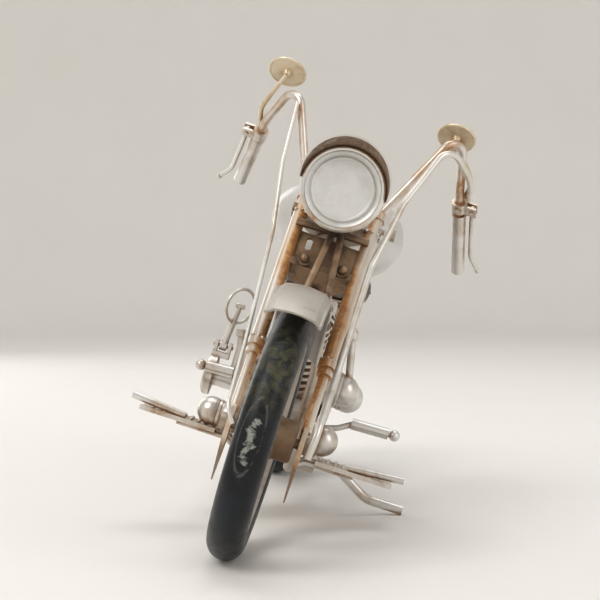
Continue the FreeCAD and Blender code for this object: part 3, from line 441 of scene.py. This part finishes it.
def saddle_cushion():
    """The stuffed saddle: blown up softly from the plain pad, its underside held flat on the pan."""
    low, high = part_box("seat")
    middle = (low + high) / 2
    to_big = Matrix.Diagonal((GROW, GROW, GROW, 1.0)) @ Matrix.Translation(-middle)
    mesh = NODES["seat"].data.copy()
    mesh.transform(to_big)
    cushion = add_object("seat_cushion", mesh, "saddle_leather")
    remesh = cushion.modifiers.new("remesh", "REMESH")
    remesh.mode = "VOXEL"
    remesh.voxel_size = VOXEL
    cushion.data = baked(cushion)
    cushion.modifiers.clear()
    rest = [v.co.copy() for v in cushion.data.vertices]
    floor = min(co.dot(BIKE_UP) for co in rest)
    pins = cushion.vertex_groups.new(name="pins")
    pins.add([k for k, co in enumerate(rest) if co.dot(BIKE_UP) < floor + PINNED], 1.0, "REPLACE")
    swell(cushion, rest)
    cushion.data.transform(to_big.inverted())
    for face in cushion.data.polygons:
        face.use_smooth = True
    smooth = cushion.modifiers.new("smooth", "SMOOTH")
    smooth.factor = 0.5
    smooth.iterations = 3
    fine = cushion.modifiers.new("fine", "SUBSURF")
    fine.levels = 1
    fine.render_levels = 1
    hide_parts("seat")
    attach(cushion, "chassis")
    return cushion


def tube_ring(bm, centres, radius, sides=8):
    """Closed tube through a ring of points."""
    count = len(centres)
    rows = []
    for k, centre in enumerate(centres):
        run = (centres[(k + 1) % count] - centres[k - 1]).normalized()
        wide = run.cross(BIKE_UP).normalized()
        tall = wide.cross(run)
        rows.append([bm.verts.new(centre + radius * (math.cos(t) * wide + math.sin(t) * tall))
                     for t in (2 * math.pi * s / sides for s in range(sides))])
    for k in range(count):
        here, there = rows[k], rows[(k + 1) % count]
        for s in range(sides):
            bm.faces.new((here[s], here[(s + 1) % sides], there[(s + 1) % sides], there[s]))


def saddle_welt(cushion):
    """Sewn piping round the saddle, laid on the cushion's own surface."""
    data = baked(cushion)
    points = [v.co.copy() for v in data.vertices]
    tree = BVHTree.FromPolygons(points, [list(f.vertices) for f in data.polygons])
    heights = [v.co.dot(BIKE_UP) for v in data.vertices]
    low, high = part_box("seat")
    middle = (low + high) / 2
    welt_height = min(heights) + WELT_HEIGHT * (max(heights) - min(heights))
    middle += BIKE_UP * (welt_height - middle.dot(BIKE_UP))
    ring = []
    for k in range(WELT_POINTS):
        a = 2 * math.pi * k / WELT_POINTS
        out = ACROSS * math.cos(a) + BACK * math.sin(a)
        hit = tree.ray_cast(middle + out * 0.08, -out)[0]
        if hit:
            ring.append(hit)
    for _ in range(3):
        ring = [(ring[k - 1] + 2 * ring[k] + ring[(k + 1) % len(ring)]) / 4 for k in range(len(ring))]
    bm = bmesh.new()
    tube_ring(bm, ring, WELT_RADIUS)
    mesh = bpy.data.meshes.new("seat_welt")
    bm.normal_update()
    bmesh.ops.recalc_face_normals(bm, faces=bm.faces)
    bm.to_mesh(mesh)
    bm.free()
    welt = add_object("seat_welt", mesh, "saddle_leather")
    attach(welt, "chassis")


saddle_welt(saddle_cushion())


# ---------------------------------------------------------------- solder at the joints
def lump(bm, place, radius, seed):
    """One frozen drop of solder: a flattened ball with an uneven skin."""
    drop = bmesh.ops.create_icosphere(bm, subdivisions=2, radius=1.0)
    for vertex in drop["verts"]:
        n = noise.noise(vertex.co * 1.4 + Vector((seed * 3.7, seed, 0.0)))
        vertex.co = place + vertex.co * radius * (1.0 + 0.30 * n)


def solder(name, rings, body):
    """Lumpy solder run round each joint: (centre, axis, ring radius, drop radius, count)."""
    rng = random.Random(name)
    bm = bmesh.new()
    for centre, axis, wide, drop, count in rings:
        u = axis.cross(BACK).normalized()
        v = axis.cross(u).normalized()
        for k in range(count):
            a = 2 * math.pi * (k + rng.uniform(-0.25, 0.25)) / count
            place = centre + (u * math.cos(a) + v * math.sin(a)) * wide + axis * rng.uniform(-0.3, 0.3) * MM
            lump(bm, place, drop * rng.uniform(0.75, 1.2), rng.uniform(0, 40))
    mesh = bpy.data.meshes.new(name)
    bm.to_mesh(mesh)
    bm.free()
    piece = add_object(name, mesh, "bright_metal")
    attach(piece, body)


def lowest_spot(node, axis, depth):
    """Middle of the end of a part that lies lowest along an axis."""
    corners = [v.co.copy() for v in NODES[node].data.vertices]
    bottom = min(co.dot(axis) for co in corners)
    near = [co for co in corners if co.dot(axis) < bottom + depth]
    return sum(near, Vector()) / len(near)


def fork_ring(up, across, wide, drop, count):
    """Ring of solder on a fork side, at a height above the front axle and a distance across."""
    centre = FRONT_AXLE + FORK_AXIS * up * MM + ACROSS * across * MM
    return centre, FORK_AXIS, wide * MM, drop * MM, count


COLLAR_UP = 29.2
UPPER_YOKE_UP = 78.0
FORK_RINGS = []
for side, collar_across, top_across in ((1.0, 12.0, 12.3), (-1.0, 10.3, 11.2)):
    FORK_RINGS.append(fork_ring(COLLAR_UP, side * collar_across, 2.3, 0.75, 9))
    FORK_RINGS.append(fork_ring(UPPER_YOKE_UP, side * top_across, 2.35, 0.6, 8))
for bar in ("handlebar_left", "handlebar_right"):
    FORK_RINGS.append((lowest_spot(bar, FORK_AXIS, 1.5 * MM), FORK_AXIS, 1.3 * MM, 0.8 * MM, 7))
solder("fork_solder", FORK_RINGS, "steering")

AXLE_RINGS = []
for side in (1.0, -1.0):
    centre = REAR_AXLE + ACROSS * side * 12.2 * MM + BACK * -7.0 * MM
    AXLE_RINGS.append((centre, ACROSS, 1.6 * MM, 0.8 * MM, 6))
solder("axle_solder", AXLE_RINGS, "chassis")


# ---------------------------------------------------------------- stage, light, camera
def studio():
    """Seamless pale bowl: flat floor, curve and wall all the way round."""
    floor = 1.3
    rise = 0.35
    wall_top = 1.5
    drop = 0.1 * MM
    sides = 96
    steps = 12
    profile = [(0.02, 0.0), (floor, 0.0)]
    for k in range(1, steps + 1):
        a = math.radians(90 * k / steps)
        profile.append((floor + rise * math.sin(a), rise - rise * math.cos(a)))
    profile.append((floor + rise, wall_top))
    mesh = bpy.data.meshes.new("studio_sweep")
    bm = bmesh.new()
    rows = []
    for r, z in profile:
        turns = [2 * math.pi * k / sides for k in range(sides)]
        rows.append([bm.verts.new((r * math.cos(t), r * math.sin(t), z - drop)) for t in turns])
    bm.faces.new(rows[0])
    for low, high in zip(rows, rows[1:]):
        for k in range(sides):
            after = (k + 1) % sides
            bm.faces.new((low[k], high[k], high[after], low[after]))
    for face in bm.faces:
        face.smooth = True
    bm.to_mesh(mesh)
    bm.free()
    sweep = bpy.data.objects.new("studio_sweep", mesh)
    bpy.context.scene.collection.objects.link(sweep)
    m = Mat("studio_paper", roughness=0.75, specular=0.3)
    m.set("Base Color", m.mix(m.noise(9.0, 3.0), (0.75, 0.725, 0.69), (0.79, 0.77, 0.74)))
    m.bump(m.noise(160.0, 4.0), 0.04, 0.4 * MM)
    mesh.materials.append(m.mat)


def area_light(name, place, target, size, power, colour=(1.0, 1.0, 1.0)):
    data = bpy.data.lights.new(name, "AREA")
    data.shape = "RECTANGLE"
    data.size, data.size_y = size
    data.energy = power
    data.color = colour
    lamp = bpy.data.objects.new(name, data)
    lamp.location = place
    lamp.rotation_euler = (Vector(target) - Vector(place)).to_track_quat("-Z", "Y").to_euler()
    bpy.context.scene.collection.objects.link(lamp)


def studio_world():
    """A soft room: bright overhead and to the front left, dim low down and at the right."""
    world = bpy.data.worlds.new("studio_world")
    bpy.context.scene.world = world
    world.use_nodes = True
    tree = world.node_tree
    background = tree.nodes["Background"]
    where = tree.nodes.new("ShaderNodeTexCoord").outputs["Generated"]
    slant = tree.nodes.new("ShaderNodeVectorMath")
    slant.operation = "DOT_PRODUCT"
    tree.links.new(where, slant.inputs[0])
    slant.inputs[1].default_value = (-0.35, -0.25, 0.85)
    ramp = tree.nodes.new("ShaderNodeValToRGB")
    for position, level in ((0.0, 0.10), (0.40, 0.20), (0.60, 0.60), (1.0, 1.05)):
        stop = ramp.color_ramp.elements.new(position)
        stop.color = (level, level * 0.985, level * 0.965, 1.0)
    ramp.color_ramp.elements.remove(ramp.color_ramp.elements[0])
    ramp.color_ramp.elements.remove(ramp.color_ramp.elements[-1])
    half = tree.nodes.new("ShaderNodeMapRange")
    half.inputs["From Min"].default_value = -1.0
    tree.links.new(slant.outputs["Value"], half.inputs["Value"])
    tree.links.new(half.outputs["Result"], ramp.inputs["Fac"])
    tree.links.new(ramp.outputs["Color"], background.inputs["Color"])
    background.inputs["Strength"].default_value = 0.54


studio()
studio_world()
AIM = (0.0, 0.0, 0.07)
area_light("key", (-0.75, -0.9, 1.15), AIM, (0.8, 0.8), 11.0, (1.0, 0.98, 0.95))
area_light("fill", (0.95, -0.7, 0.55), AIM, (0.5, 0.9), 3.2, (0.97, 0.98, 1.0))
area_light("top", (0.05, 0.25, 1.3), AIM, (1.0, 0.7), 6.5)
area_light("rim", (-0.5, 0.62, 0.35), AIM, (0.3, 0.6), 1.2)

CAMERA_DIP = 1.383
CAMERA_TURN = 3.473
eye = bpy.data.cameras.new("camera")
eye.lens = 87.0
eye.sensor_width = 36.0
eye.clip_start = 0.01
camera = bpy.data.objects.new("camera", eye)
camera.location = (0.02574, -0.50703, 0.0849)
camera.rotation_euler = (math.radians(90.0 - CAMERA_DIP), 0.0, math.radians(CAMERA_TURN))
bpy.context.scene.collection.objects.link(camera)
bpy.context.scene.camera = camera

bpy.context.scene.view_settings.view_transform = "Standard"
